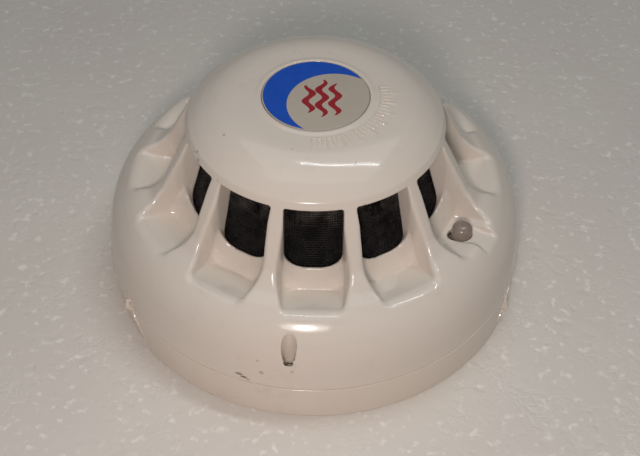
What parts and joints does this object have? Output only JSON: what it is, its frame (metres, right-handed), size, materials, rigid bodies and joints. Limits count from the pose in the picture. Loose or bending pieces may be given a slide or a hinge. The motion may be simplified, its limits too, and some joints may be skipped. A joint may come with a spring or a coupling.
{
  "type": "smoke detector",
  "caption": "Round ceiling smoke detector: ribbed ivory cover with smoke scoops round a domed cap, mesh-lined optical chamber and a twist-lock wiring base.",
  "frame": {"origin": "centre of the base's mounting face, the face that goes against the ceiling", "axes": "+Z out of the mounting face along the detector's axis, through the cap; -Y towards the lock-screw pocket side; the indicator lamp is 62.6 degrees from -Y towards +X"},
  "size_m": [0.109, 0.109, 0.054],
  "materials": {
    "ivory_plastic": "glossy moulded ABS, slightly yellowed",
    "black_plastic": "matt black moulding",
    "black_mesh": "fine black woven mesh",
    "steel": "plated steel",
    "brass": "nickel-flashed brass strip",
    "board": "green solder mask",
    "chip": "matt black encapsulation",
    "sleeve": "shrunk plastic sleeve",
    "clear_plastic": "clear acrylic, slightly dulled",
    "red_lamp": "tinted epoxy lamp body",
    "dark_lens": "dark tinted epoxy",
    "label": "printed disc"
  },
  "bodies": {
    "base": {"mounting_base": "ivory_plastic", "terminal_strip_1": "brass", "terminal_strip_2": "brass", "terminal_strip_3": "brass", "terminal_strip_4": "brass", "terminal_clamp_1": "steel", "terminal_clamp_2": "steel", "terminal_clamp_3": "steel", "terminal_clamp_4": "steel", "terminal_screw_1": "steel", "terminal_screw_2": "steel", "terminal_screw_3": "steel", "terminal_screw_4": "steel"},
    "head": {"head_chassis": "ivory_plastic", "contact_blade_1": "steel", "contact_blade_2": "steel", "contact_blade_3": "steel", "contact_blade_4": "steel", "circuit_board": "board", "board_screw_1": "steel", "board_screw_2": "steel", "board_screw_3": "steel", "control_chip": "chip", "drive_chip": "chip", "storage_capacitor_1": "sleeve", "storage_capacitor_2": "sleeve", "screening_can": "steel", "indicator_led": "red_lamp", "chamber_tray": "black_plastic", "chamber_lid": "black_plastic", "insect_mesh": "black_mesh", "emitter_holder": "black_plastic", "receiver_holder": "black_plastic", "infrared_emitter": "dark_lens", "receiver_lens": "clear_plastic", "photodiode": "chip"},
    "cover": {"outer_cover": "ivory_plastic", "label_disc": "label", "light_pipe": "clear_plastic", "lock_screw": "steel"}
  },
  "joints": [
    {"name": "head_twist", "type": "hinge", "parent": "base", "child": "head", "pos_m": [0, 0, 0], "axis": [0, 0, 1], "range_deg": [0, 18]},
    {"name": "cover_lift", "type": "slide", "parent": "head", "child": "cover", "axis": [0, 0, 1], "range_m": [0, 0.045]}
  ]
}
